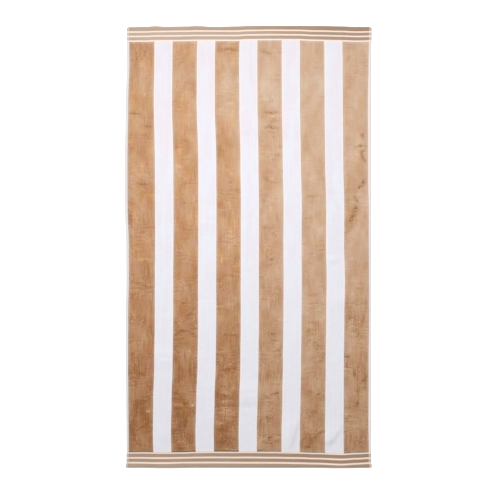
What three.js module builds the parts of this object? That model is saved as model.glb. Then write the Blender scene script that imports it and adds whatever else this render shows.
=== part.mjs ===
// Beach towel lying flat on a surface: one woven sheet with a sheared pile field between
// two flat-woven end borders, its sides and ends turned under and sewn down as hems.
// Millimetres, +Z up. The origin is on that surface, under the middle of the towel.
// A place on the cloth is given as woven: across runs from the left side to the right
// along +X, along runs from the lower end to the upper end along +Y. Laying the towel out
// shifts those places a little and lifts the cloth in low ripples.
import * as THREE from "three";

// Driving dimensions
const WIDTH = 1000;
const LENGTH = 1800;
const SIDE_HEM = 10;
const END_HEM = 18;
const BORDER = 62; // flat-woven end, its hem included
const PILE_THICKNESS = 3.4;
const FLAT_THICKNESS = 1.4;
const HEM_THICKNESS = 2.8;
const STEP_RUN = 3; // length over which one thickness passes into the next
const EDGE_ROUND = 1.4; // how far the rounded edge of a hem stands out past its flat top
const CORNER_ROUND = 8;

// Unevenness of the cloth as it lies
const HALF_WIDTH = WIDTH / 2;
const HALF_LENGTH = LENGTH / 2;
const BOW_REACH = 420; // how far in from an end its bow fades out
const PULL_REACH = 115; // how far in from a side its hem's pull fades out

// Sideways shift of the warp by place along, in seven columns over the width
const SWAY_COLUMNS = [
  { column: "leftHem", across: -HALF_WIDTH },
  { column: "left", across: -385 },
  { column: "midLeft", across: -211 },
  { column: "mid", across: 0 },
  { column: "midRight", across: 211 },
  { column: "right", across: 385 },
  { column: "rightHem", across: HALF_WIDTH },
];
const SWAY = [
  { along: -HALF_LENGTH, leftHem: 0.6, left: -1, midLeft: -2, mid: -1, midRight: -1, right: 6, rightHem: 4 },
  { along: -870, leftHem: 5.2, left: -1, midLeft: -2, mid: -1, midRight: -1, right: 6, rightHem: 1 },
  { along: -760, leftHem: 4.8, left: -3, midLeft: -3.5, mid: -1.5, midRight: 0, right: 4.5, rightHem: 1 },
  { along: -620, leftHem: 3.6, left: -1.5, midLeft: 0, mid: 1.5, midRight: 3, right: 5, rightHem: 1 },
  { along: -480, leftHem: 1.6, left: 2.5, midLeft: 5, mid: 5.5, midRight: 5, right: 5.5, rightHem: 0 },
  { along: -300, leftHem: 1.6, left: 4.5, midLeft: 7, mid: 7, midRight: 7, right: 7.5, rightHem: 0 },
  { along: -130, leftHem: 4.6, left: 5, midLeft: 7, mid: 7, midRight: 8, right: 10, rightHem: 1 },
  { along: 0, leftHem: 3.4, left: 6, midLeft: 8, mid: 7, midRight: 7, right: 6.5, rightHem: 0 },
  { along: 160, leftHem: -1.6, left: 6, midLeft: 8.5, mid: 7.5, midRight: 8, right: 7.5, rightHem: 1 },
  { along: 350, leftHem: -1.6, left: 5, midLeft: 8, mid: 5.5, midRight: 4, right: 3, rightHem: 1 },
  { along: 580, leftHem: 1, left: 0.5, midLeft: 1.5, mid: 1.5, midRight: 0.5, right: 1.5, rightHem: 0 },
  { along: 750, leftHem: 7, left: 2.5, midLeft: 2, mid: 0.5, midRight: 0, right: 0.5, rightHem: 1 },
  { along: HALF_LENGTH, leftHem: 6, left: 4, midLeft: 6, mid: 2.5, midRight: 0, right: -1.5, rightHem: 3 },
];

// Sideways shift of the side hems' inner edges by place along, as the hems turn under unevenly
const HEM_PULL = [
  { along: -830, left: -0.8, right: 0 },
  { along: -730, left: -0.8, right: -1.6 },
  { along: -480, left: 0, right: -0.4 },
  { along: -280, left: 0.2, right: 2 },
  { along: -75, left: 0.8, right: 0.8 },
  { along: 130, left: 1.6, right: 0 },
  { along: 300, left: 1.2, right: -3.2 },
  { along: 590, left: 1, right: -3.6 },
  { along: 740, left: 0.2, right: -1.2 },
  { along: 840, left: 0, right: 0 },
];

// Shift of the ends along the towel by place across. The hems roll under unevenly, so the
// outer edge of each differs from its border, and the lower border is pulled longer too.
const END_BOW = [
  { across: -HALF_WIDTH, upperEdge: -7.5, upper: -7, lower: -1, lowerPull: 2.5 },
  { across: -420, upperEdge: -6, upper: -6.5, lower: -2, lowerPull: 4 },
  { across: -380, upperEdge: -3.5, upper: -5, lower: -3, lowerPull: 4.5 },
  { across: -340, upperEdge: -6, upper: -4.5, lower: -2.5, lowerPull: 3.5 },
  { across: -255, upperEdge: -5.5, upper: -4, lower: -1, lowerPull: 3 },
  { across: -215, upperEdge: -3.5, upper: -3, lower: -1.5, lowerPull: 5 },
  { across: -150, upperEdge: -6.5, upper: -3, lower: -1.5, lowerPull: 6 },
  { across: -50, upperEdge: -4.5, upper: -3, lower: -2, lowerPull: 6 },
  { across: 0, upperEdge: -2.5, upper: -0.5, lower: -2.5, lowerPull: 7 },
  { across: 100, upperEdge: -2, upper: 0.5, lower: -2.5, lowerPull: 6 },
  { across: 200, upperEdge: -2, upper: 0, lower: -4, lowerPull: 6 },
  { across: 275, upperEdge: -3, upper: -3, lower: -5.5, lowerPull: 5 },
  { across: 375, upperEdge: -5, upper: -5, lower: -9, lowerPull: 5 },
  { across: 440, upperEdge: -6.5, upper: -7, lower: -6, lowerPull: 5 },
  { across: HALF_WIDTH, upperEdge: -7, upper: -6, lower: -3, lowerPull: 4.5 },
];

// Low ripples and lifted edges: centre, turn of the ridge from +X in degrees, half length,
// half width and height. A fold that leans has another half width at its back, on the left
// of the ridge. The four corners lie on the surface.
const RIPPLES = [
  { across: 183, along: -762, turn: 78, reach: 85, spread: 18, height: 4.4, back: 60 },
  { across: 272, along: -775, turn: 44, reach: 70, spread: 18, height: 3, back: 60 },
  { across: 343, along: -768, turn: 55, reach: 74, spread: 18, height: 3.6, back: 65 },
  { across: -344, along: -771, turn: -58, reach: 60, spread: 18, height: 2.2, back: 45 },
  { across: 85, along: 494, turn: -2, reach: 190, spread: 60, height: 2.5 },
  { across: -175, along: 108, turn: 3, reach: 150, spread: 60, height: 2 },
  { across: 400, along: -222, turn: -3, reach: 150, spread: 60, height: 3 },
  { across: 20, along: -600, turn: 4, reach: 170, spread: 60, height: 3 },
  { across: -380, along: -452, turn: -4, reach: 160, spread: 60, height: 2.5 },
  { across: -470, along: 250, turn: 4, reach: 120, spread: 60, height: 3 },
  { across: -HALF_WIDTH, along: 330, turn: 90, reach: 190, spread: 80, height: 5 },
  { across: -HALF_WIDTH, along: -120, turn: 90, reach: 150, spread: 70, height: 4 },
  { across: -HALF_WIDTH, along: -560, turn: 90, reach: 170, spread: 70, height: 4 },
  { across: HALF_WIDTH, along: 560, turn: 90, reach: 200, spread: 80, height: 4 },
  { across: HALF_WIDTH, along: 90, turn: 90, reach: 160, spread: 70, height: 3 },
  { across: HALF_WIDTH, along: -430, turn: 90, reach: 180, spread: 80, height: 5 },
  { across: -240, along: HALF_LENGTH, turn: 0, reach: 140, spread: 70, height: 5 },
  { across: 330, along: HALF_LENGTH, turn: 0, reach: 120, spread: 60, height: 5 },
  { across: -330, along: -HALF_LENGTH, turn: 0, reach: 110, spread: 60, height: 4 },
  { across: 370, along: -HALF_LENGTH, turn: 0, reach: 95, spread: 70, height: 5 },
];

// Spacing of the mesh lines: wide over the field, closer over the creased corner
const FIELD_PITCH = 46;
const CREASE_PITCH = 16;
const CREASED_ACROSS = { from: 130, to: 420 };
const CREASED_ALONG = { from: -835, to: -670 };

const CLOTH_COLOUR = 0xc99a72;
const CLOTH_ROUGHNESS = 0.95;

const mix = (a, b, share) => a + (b - a) * share;

// A share from 0 to 1 that starts and ends level
function ease(share) {
  const t = Math.min(1, Math.max(0, share));
  return t * t * (3 - 2 * t);
}

// A round hump: 1 in the middle, 0 and level from one half width outwards
function hump(offset) {
  return Math.abs(offset) < 1 ? (1 - offset * offset) ** 2 : 0;
}

// A table's column at a place, passing smoothly from row to row
function lookUp(rows, key, place, column) {
  const next = rows.findIndex((row) => row[key] >= place);
  if (next < 0) return rows.at(-1)[column];
  if (next === 0) return rows[0][column];
  const [before, after] = [rows[next - 1], rows[next]];
  const share = (place - before[key]) / (after[key] - before[key]);
  return mix(before[column], after[column], ease(share));
}

function sway(across, along) {
  const shifts = SWAY_COLUMNS.map(({ column, across: place }) => ({
    across: place,
    shift: lookUp(SWAY, "along", along, column),
  }));
  return lookUp(shifts, "across", across, "shift");
}

function pull(across, along) {
  const fromSide = HALF_WIDTH - Math.abs(across);
  const share = ease(fromSide / SIDE_HEM) * (1 - ease(fromSide / PULL_REACH));
  return lookUp(HEM_PULL, "along", along, across > 0 ? "right" : "left") * share;
}

function bow(across, along) {
  const fromEnd = HALF_LENGTH - Math.abs(along);
  const fade = 1 - ease(fromEnd / BOW_REACH);
  const overHem = ease(fromEnd / END_HEM);
  const shift = (column) => lookUp(END_BOW, "across", across, column);
  if (along > 0) return mix(shift("upperEdge"), shift("upper"), overHem) * fade;
  return (shift("lower") * overHem + shift("lowerPull") * ease(fromEnd / BORDER)) * fade;
}

function lift(across, along) {
  return RIPPLES.reduce((highest, ripple) => {
    const turn = THREE.MathUtils.degToRad(ripple.turn);
    const [dx, dy] = [across - ripple.across, along - ripple.along];
    const onRidge = dx * Math.cos(turn) + dy * Math.sin(turn);
    const offRidge = dy * Math.cos(turn) - dx * Math.sin(turn);
    const { reach, spread, height, back = spread } = ripple;
    const rise = height * hump(onRidge / reach) * hump(offRidge / (offRidge > 0 ? back : spread));
    return Math.max(highest, rise);
  }, 0);
}

// Share of the way over the step at a given distance in from an edge
function past(fromEdge, stepAt) {
  return ease((fromEdge - stepAt) / STEP_RUN + 0.5);
}

function thickness(across, along) {
  const fromSide = HALF_WIDTH - Math.abs(across);
  const fromEnd = HALF_LENGTH - Math.abs(along);
  const hemToFlat = mix(HEM_THICKNESS, FLAT_THICKNESS, past(fromEnd, END_HEM));
  const body = mix(hemToFlat, PILE_THICKNESS, past(fromEnd, BORDER));
  return mix(HEM_THICKNESS, body, past(fromSide, SIDE_HEM));
}

// Draws a square corner of the sheet in to a round one
function roundCorner(across, along) {
  const centreX = HALF_WIDTH - CORNER_ROUND;
  const centreY = HALF_LENGTH - CORNER_ROUND;
  const x = (Math.abs(across) - centreX) / CORNER_ROUND;
  const y = (Math.abs(along) - centreY) / CORNER_ROUND;
  if (x <= 0 || y <= 0) return [across, along];
  return [
    Math.sign(across) * (centreX + CORNER_ROUND * x * Math.sqrt(1 - (y * y) / 2)),
    Math.sign(along) * (centreY + CORNER_ROUND * y * Math.sqrt(1 - (x * x) / 2)),
  ];
}

// A point of the laid towel: share 0 is on its underside, 1 on its face
function clothPoint(across, along, share) {
  const [x, y] = roundCorner(across, along);
  const z = lift(x, y) + thickness(across, along) * share;
  return [x + sway(x, y) + pull(x, y), y + bow(x, y), z];
}

// Evenly spaced places from one to another, the last one left out
function evenly(from, to, pitch) {
  const count = Math.ceil((to - from) / pitch);
  return Array.from({ length: count }, (_, i) => mix(from, to, i / count));
}

// Mesh lines over one direction: at every step of the hems, then over the field
function meshLines(half, stepPlaces, creased) {
  const steps = stepPlaces.flatMap((place) => [place - STEP_RUN / 2, place + STEP_RUN / 2]);
  const inner = half - steps.at(-1);
  const edge = [EDGE_ROUND, ...steps.slice(0, -1)];
  return [
    ...edge.map((place) => place - half),
    ...evenly(-inner, creased.from, FIELD_PITCH),
    ...evenly(creased.from, creased.to, CREASE_PITCH),
    ...evenly(creased.to, inner, FIELD_PITCH),
    inner,
    ...edge.map((place) => half - place).reverse(),
  ];
}

// The boundary of a grid of mesh lines, once round from the lower left
function boundaryOf(columns, rows) {
  const [lastColumn, lastRow] = [columns - 1, rows - 1];
  const loop = [];
  for (let i = 0; i < lastColumn; i++) loop.push([i, 0]);
  for (let j = 0; j < lastRow; j++) loop.push([lastColumn, j]);
  for (let i = lastColumn; i > 0; i--) loop.push([i, lastRow]);
  for (let j = lastRow; j > 0; j--) loop.push([0, j]);
  return loop;
}

// Face and underside as two grids of points, joined by a rim at half the hem's height
function towelGeometry() {
  const acrossLines = meshLines(HALF_WIDTH, [SIDE_HEM], CREASED_ACROSS);
  const alongLines = meshLines(HALF_LENGTH, [END_HEM, BORDER], CREASED_ALONG);
  const [columns, rows] = [acrossLines.length, alongLines.length];
  const layer = columns * rows;
  const rim = boundaryOf(columns, rows);

  const points = [];
  for (const share of [0, 1]) {
    for (const along of alongLines) {
      for (const across of acrossLines) points.push(...clothPoint(across, along, share));
    }
  }
  const outwards = (place, line, last) =>
    place + (line === 0 ? -EDGE_ROUND : line === last ? EDGE_ROUND : 0);
  for (const [i, j] of rim) {
    const across = outwards(acrossLines[i], i, columns - 1);
    const along = outwards(alongLines[j], j, rows - 1);
    points.push(...clothPoint(across, along, 0.5));
  }

  const triangles = [];
  const quad = (a, b, c, d) => triangles.push(a, b, c, a, c, d);
  for (let j = 0; j < rows - 1; j++) {
    for (let i = 0; i < columns - 1; i++) {
      const under = j * columns + i;
      const face = layer + under;
      quad(under, under + columns, under + columns + 1, under + 1);
      quad(face, face + 1, face + columns + 1, face + columns);
    }
  }
  rim.forEach(([i, j], k) => {
    const after = (k + 1) % rim.length;
    const [nextI, nextJ] = rim[after];
    const [under, nextUnder] = [j * columns + i, nextJ * columns + nextI];
    const [edge, nextEdge] = [2 * layer + k, 2 * layer + after];
    quad(under, nextUnder, nextEdge, edge);
    quad(edge, nextEdge, layer + nextUnder, layer + under);
  });

  const geometry = new THREE.BufferGeometry();
  geometry.setAttribute("position", new THREE.Float32BufferAttribute(points, 3));
  geometry.setIndex(triangles);
  geometry.computeVertexNormals();
  return geometry;
}

function makeTowel() {
  const cloth = new THREE.MeshStandardMaterial({
    color: CLOTH_COLOUR,
    roughness: CLOTH_ROUGHNESS,
    metalness: 0,
  });
  const towel = new THREE.Mesh(towelGeometry(), cloth);
  towel.name = "towel";
  return towel;
}

const beachTowel = new THREE.Group();
beachTowel.add(makeTowel());

export default beachTowel;
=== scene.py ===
"""Looks of a striped beach towel that lies flat, in metres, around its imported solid.

A place on the cloth is given as woven: across runs from the left side to the right (+X),
along runs from the lower end to the upper end (+Y). Laying the towel out shifts those
places a little and lifts the cloth in low ripples, as in the solid.
"""
import math
from collections import namedtuple

import bpy
import numpy as np
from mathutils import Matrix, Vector


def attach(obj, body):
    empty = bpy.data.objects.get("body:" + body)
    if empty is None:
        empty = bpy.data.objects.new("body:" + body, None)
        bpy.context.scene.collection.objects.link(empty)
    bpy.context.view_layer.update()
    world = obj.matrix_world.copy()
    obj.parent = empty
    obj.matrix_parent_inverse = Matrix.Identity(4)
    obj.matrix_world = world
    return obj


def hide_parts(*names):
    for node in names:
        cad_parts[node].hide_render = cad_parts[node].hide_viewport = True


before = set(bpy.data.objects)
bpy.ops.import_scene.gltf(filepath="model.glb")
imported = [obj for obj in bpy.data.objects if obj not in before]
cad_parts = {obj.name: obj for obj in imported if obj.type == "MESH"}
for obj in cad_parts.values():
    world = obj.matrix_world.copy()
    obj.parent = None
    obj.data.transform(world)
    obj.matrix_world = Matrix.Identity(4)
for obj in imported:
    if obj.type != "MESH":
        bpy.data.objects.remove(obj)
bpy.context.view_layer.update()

# Sizes of the towel, as in its solid
WIDTH = 1.0
LENGTH = 1.8
SIDE_HEM = 0.010
END_HEM = 0.018
BORDER = 0.062
PILE_THICKNESS = 0.0034
FLAT_THICKNESS = 0.0014
HEM_THICKNESS = 0.0028
EDGE_ROUND = 0.0014
CORNER_ROUND = 0.008
BOW_REACH = 0.42
HALF_WIDTH = WIDTH / 2
HALF_LENGTH = LENGTH / 2

# Stripes from the middle outwards, and border lines by their distance from the end
WHITE_STRIPE = 0.0738
TAN_STRIPE = 0.0997
REPEAT = WHITE_STRIPE + TAN_STRIPE
FIRST_TAN = REPEAT / 2
LAST_TAN = FIRST_TAN + 2 * REPEAT
LAST_TAN_EXTRA = HALF_WIDTH - SIDE_HEM - LAST_TAN - TAN_STRIPE / 2
BorderLine = namedtuple("BorderLine", "near far")
BORDER_LINES = [
    BorderLine(0.0180, 0.0242),
    BorderLine(0.0362, 0.0424),
    BorderLine(0.0557, 0.0615),
]

# Finer relief of the cloth
STEP_RUN = 0.0016
RIB_RISE = 0.0004
RIB_TO_LINE = 1.2
HEM_PUFF = 0.0004
STITCH_SINK = 0.0005
STITCH_SPREAD = 0.0022
END_STITCH = 0.0150
SIDE_STITCH = 0.0078
NAP_RELIEF = 0.00030
NAP_CELL = 0.015
STREAK_RELIEF = 0.00018
STREAK_CELL = (0.008, 0.030)

# Mesh lines
HEM_PITCH = 0.0014
BORDER_PITCH = 0.0019
FIELD_PITCH = 0.0053
RIM_STEPS = 6
UNDERSIDE_BLOCK = 4

# Seeds of the random relief and of the warp in the marks' outlines
NAP_SEED, STREAK_SEED, ASIDE_SEED, AHEAD_SEED = range(7, 11)

# Sideways shift of the warp by place along, in seven columns over the width
Sway = namedtuple("Sway", "along left_hem left mid_left mid mid_right right right_hem")
SWAY_ACROSS = [-HALF_WIDTH, -0.385, -0.211, 0.0, 0.211, 0.385, HALF_WIDTH]
SWAY = [
    Sway(-HALF_LENGTH, 0.0006, -0.0010, -0.0020, -0.0010, -0.0010, 0.0060, 0.0040),
    Sway(-0.870, 0.0052, -0.0010, -0.0020, -0.0010, -0.0010, 0.0060, 0.0010),
    Sway(-0.760, 0.0048, -0.0030, -0.0035, -0.0015, 0.0000, 0.0045, 0.0010),
    Sway(-0.620, 0.0036, -0.0015, 0.0000, 0.0015, 0.0030, 0.0050, 0.0010),
    Sway(-0.480, 0.0016, 0.0025, 0.0050, 0.0055, 0.0050, 0.0055, 0.0000),
    Sway(-0.300, 0.0016, 0.0045, 0.0070, 0.0070, 0.0070, 0.0075, 0.0000),
    Sway(-0.130, 0.0046, 0.0050, 0.0070, 0.0070, 0.0080, 0.0100, 0.0010),
    Sway(0.000, 0.0034, 0.0060, 0.0080, 0.0070, 0.0070, 0.0065, 0.0000),
    Sway(0.160, -0.0016, 0.0060, 0.0085, 0.0075, 0.0080, 0.0075, 0.0010),
    Sway(0.350, -0.0016, 0.0050, 0.0080, 0.0055, 0.0040, 0.0030, 0.0010),
    Sway(0.580, 0.0010, 0.0005, 0.0015, 0.0015, 0.0005, 0.0015, 0.0000),
    Sway(0.750, 0.0070, 0.0025, 0.0020, 0.0005, 0.0000, 0.0005, 0.0010),
    Sway(HALF_LENGTH, 0.0060, 0.0040, 0.0060, 0.0025, 0.0000, -0.0015, 0.0030),
]

# Sideways shift of the side hems' inner edges by place along, as the hems turn under unevenly
HemPull = namedtuple("HemPull", "along left right")
HEM_PULL = [
    HemPull(-0.830, -0.0008, 0.0000),
    HemPull(-0.730, -0.0008, -0.0016),
    HemPull(-0.480, 0.0000, -0.0004),
    HemPull(-0.280, 0.0002, 0.0020),
    HemPull(-0.075, 0.0008, 0.0008),
    HemPull(0.130, 0.0016, 0.0000),
    HemPull(0.300, 0.0012, -0.0032),
    HemPull(0.590, 0.0010, -0.0036),
    HemPull(0.740, 0.0002, -0.0012),
    HemPull(0.840, 0.0000, 0.0000),
]
PULL_REACH = 0.115

# Shift of the ends along the towel by place across. The hems roll under unevenly, so the
# outer edge of each differs from its border, and the lower border is pulled longer too.
Bow = namedtuple("Bow", "across upper_edge upper lower lower_pull")
END_BOW = [
    Bow(-HALF_WIDTH, -0.0075, -0.0070, -0.0010, 0.0025),
    Bow(-0.420, -0.0060, -0.0065, -0.0020, 0.0040),
    Bow(-0.380, -0.0035, -0.0050, -0.0030, 0.0045),
    Bow(-0.340, -0.0060, -0.0045, -0.0025, 0.0035),
    Bow(-0.255, -0.0055, -0.0040, -0.0010, 0.0030),
    Bow(-0.215, -0.0035, -0.0030, -0.0015, 0.0050),
    Bow(-0.150, -0.0065, -0.0030, -0.0015, 0.0060),
    Bow(-0.050, -0.0045, -0.0030, -0.0020, 0.0060),
    Bow(0.000, -0.0025, -0.0005, -0.0025, 0.0070),
    Bow(0.100, -0.0020, 0.0005, -0.0025, 0.0060),
    Bow(0.200, -0.0020, 0.0000, -0.0040, 0.0060),
    Bow(0.275, -0.0030, -0.0030, -0.0055, 0.0050),
    Bow(0.375, -0.0050, -0.0050, -0.0090, 0.0050),
    Bow(0.440, -0.0065, -0.0070, -0.0060, 0.0050),
    Bow(HALF_WIDTH, -0.0070, -0.0060, -0.0030, 0.0045),
]

# Low ripples and lifted edges of the solid: centre, turn of the ridge from +X in degrees,
# half length, half width and height. A fold that leans has another half width at its back,
# on the left of the ridge.
Fold = namedtuple("Fold", "across along turn reach spread height back", defaults=(None,))
RIPPLES = [
    Fold(0.183, -0.762, 78, 0.085, 0.018, 0.0044, 0.060),
    Fold(0.272, -0.775, 44, 0.070, 0.018, 0.0030, 0.060),
    Fold(0.343, -0.768, 55, 0.074, 0.018, 0.0036, 0.065),
    Fold(-0.344, -0.771, -58, 0.060, 0.018, 0.0022, 0.045),
    Fold(0.085, 0.494, -2, 0.190, 0.060, 0.0025),
    Fold(-0.175, 0.108, 3, 0.150, 0.060, 0.0020),
    Fold(0.400, -0.222, -3, 0.150, 0.060, 0.0030),
    Fold(0.020, -0.600, 4, 0.170, 0.060, 0.0030),
    Fold(-0.380, -0.452, -4, 0.160, 0.060, 0.0025),
    Fold(-0.470, 0.250, 4, 0.120, 0.060, 0.0030),
    Fold(-HALF_WIDTH, 0.330, 90, 0.190, 0.080, 0.0050),
    Fold(-HALF_WIDTH, -0.120, 90, 0.150, 0.070, 0.0040),
    Fold(-HALF_WIDTH, -0.560, 90, 0.170, 0.070, 0.0040),
    Fold(HALF_WIDTH, 0.560, 90, 0.200, 0.080, 0.0040),
    Fold(HALF_WIDTH, 0.090, 90, 0.160, 0.070, 0.0030),
    Fold(HALF_WIDTH, -0.430, 90, 0.180, 0.080, 0.0050),
    Fold(-0.240, HALF_LENGTH, 0, 0.140, 0.070, 0.0050),
    Fold(0.330, HALF_LENGTH, 0, 0.120, 0.060, 0.0050),
    Fold(-0.330, -HALF_LENGTH, 0, 0.110, 0.060, 0.0040),
    Fold(0.370, -HALF_LENGTH, 0, 0.095, 0.070, 0.0050),
]

# Creases too fine for the solid, in the same columns: ridges up, troughs down
CREASES = [
    Fold(0.322, -0.790, 8, 0.036, 0.014, 0.0026, 0.050),
    Fold(0.080, 0.494, -2, 0.150, 0.014, -0.0008),
    Fold(0.000, 0.580, 2, 0.060, 0.012, -0.0006),
    Fold(-0.170, 0.108, 3, 0.060, 0.013, -0.0007),
    Fold(-0.170, -0.216, -2, 0.060, 0.009, -0.0008),
    Fold(0.440, -0.226, -3, 0.065, 0.010, -0.0012),
    Fold(0.440, -0.208, -3, 0.065, 0.011, 0.0009),
    Fold(-0.345, -0.452, -4, 0.045, 0.009, -0.0009),
    Fold(0.090, -0.516, 2, 0.055, 0.010, -0.0009),
    Fold(0.005, -0.596, 4, 0.050, 0.012, -0.0009),
    Fold(0.000, -0.655, -5, 0.050, 0.013, -0.0009),
    Fold(-0.435, 0.543, 3, 0.050, 0.010, -0.0008),
    Fold(-0.435, 0.262, -3, 0.050, 0.012, -0.0010),
    Fold(0.337, -0.055, 5, 0.040, 0.020, 0.0010),
    Fold(-0.004, 0.060, 90, 0.560, 0.012, -0.0005),
]

# Soft places in the nap: centre, turn from +X in degrees, half length, half width and how much
# deeper the nap lies, less than 0 where it is brushed up and lighter. A few are painted shade,
# along a crease and beside the left hem. Broad patches and single marks are each listed stripe by
# stripe from the left, and downwards.
Mark = namedtuple("Mark", "across along turn reach spread amount")
NAP_PATCHES = [
    Mark(-0.415, 0.785, 90, 0.070, 0.045, 0.16),
    Mark(-0.434, 0.780, 90, 0.160, 0.080, 0.15),
    Mark(-0.434, 0.350, 90, 0.500, 0.080, 0.10),
    # Painted shade beside the left hem, where the nap also lies deeper
    Mark(-0.487, 0.150, 90, 0.460, 0.024, 0.40),
    Mark(-0.434, -0.150, 90, 0.200, 0.080, 0.10),
    Mark(-0.262, 0.605, 90, 0.060, 0.080, -0.25),
    Mark(-0.260, -0.740, 90, 0.120, 0.080, 0.20),
    Mark(-0.070, 0.795, 90, 0.060, 0.060, 0.14),
    Mark(-0.070, 0.655, 90, 0.110, 0.060, -0.25),
    Mark(-0.087, 0.230, 90, 0.130, 0.080, 0.12),
    Mark(-0.087, -0.010, 90, 0.140, 0.080, -0.26),
    Mark(-0.087, -0.500, 90, 0.140, 0.080, -0.22),
    Mark(0.087, 0.665, 90, 0.110, 0.080, -0.25),
    Mark(0.087, 0.000, 90, 0.140, 0.080, -0.14),
    Mark(0.092, -0.370, 90, 0.075, 0.050, 0.28),
    Mark(0.260, -0.260, 90, 0.140, 0.080, -0.20),
    Mark(0.256, -0.403, 90, 0.040, 0.050, 0.30),
    Mark(0.240, -0.745, 90, 0.080, 0.050, -0.45),
    Mark(0.434, 0.700, 90, 0.220, 0.080, 0.12),
    Mark(0.434, 0.220, 90, 0.170, 0.080, 0.20),
    Mark(0.434, -0.290, 90, 0.080, 0.080, 0.16),
    Mark(0.434, -0.505, 90, 0.120, 0.080, 0.12),
]
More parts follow.
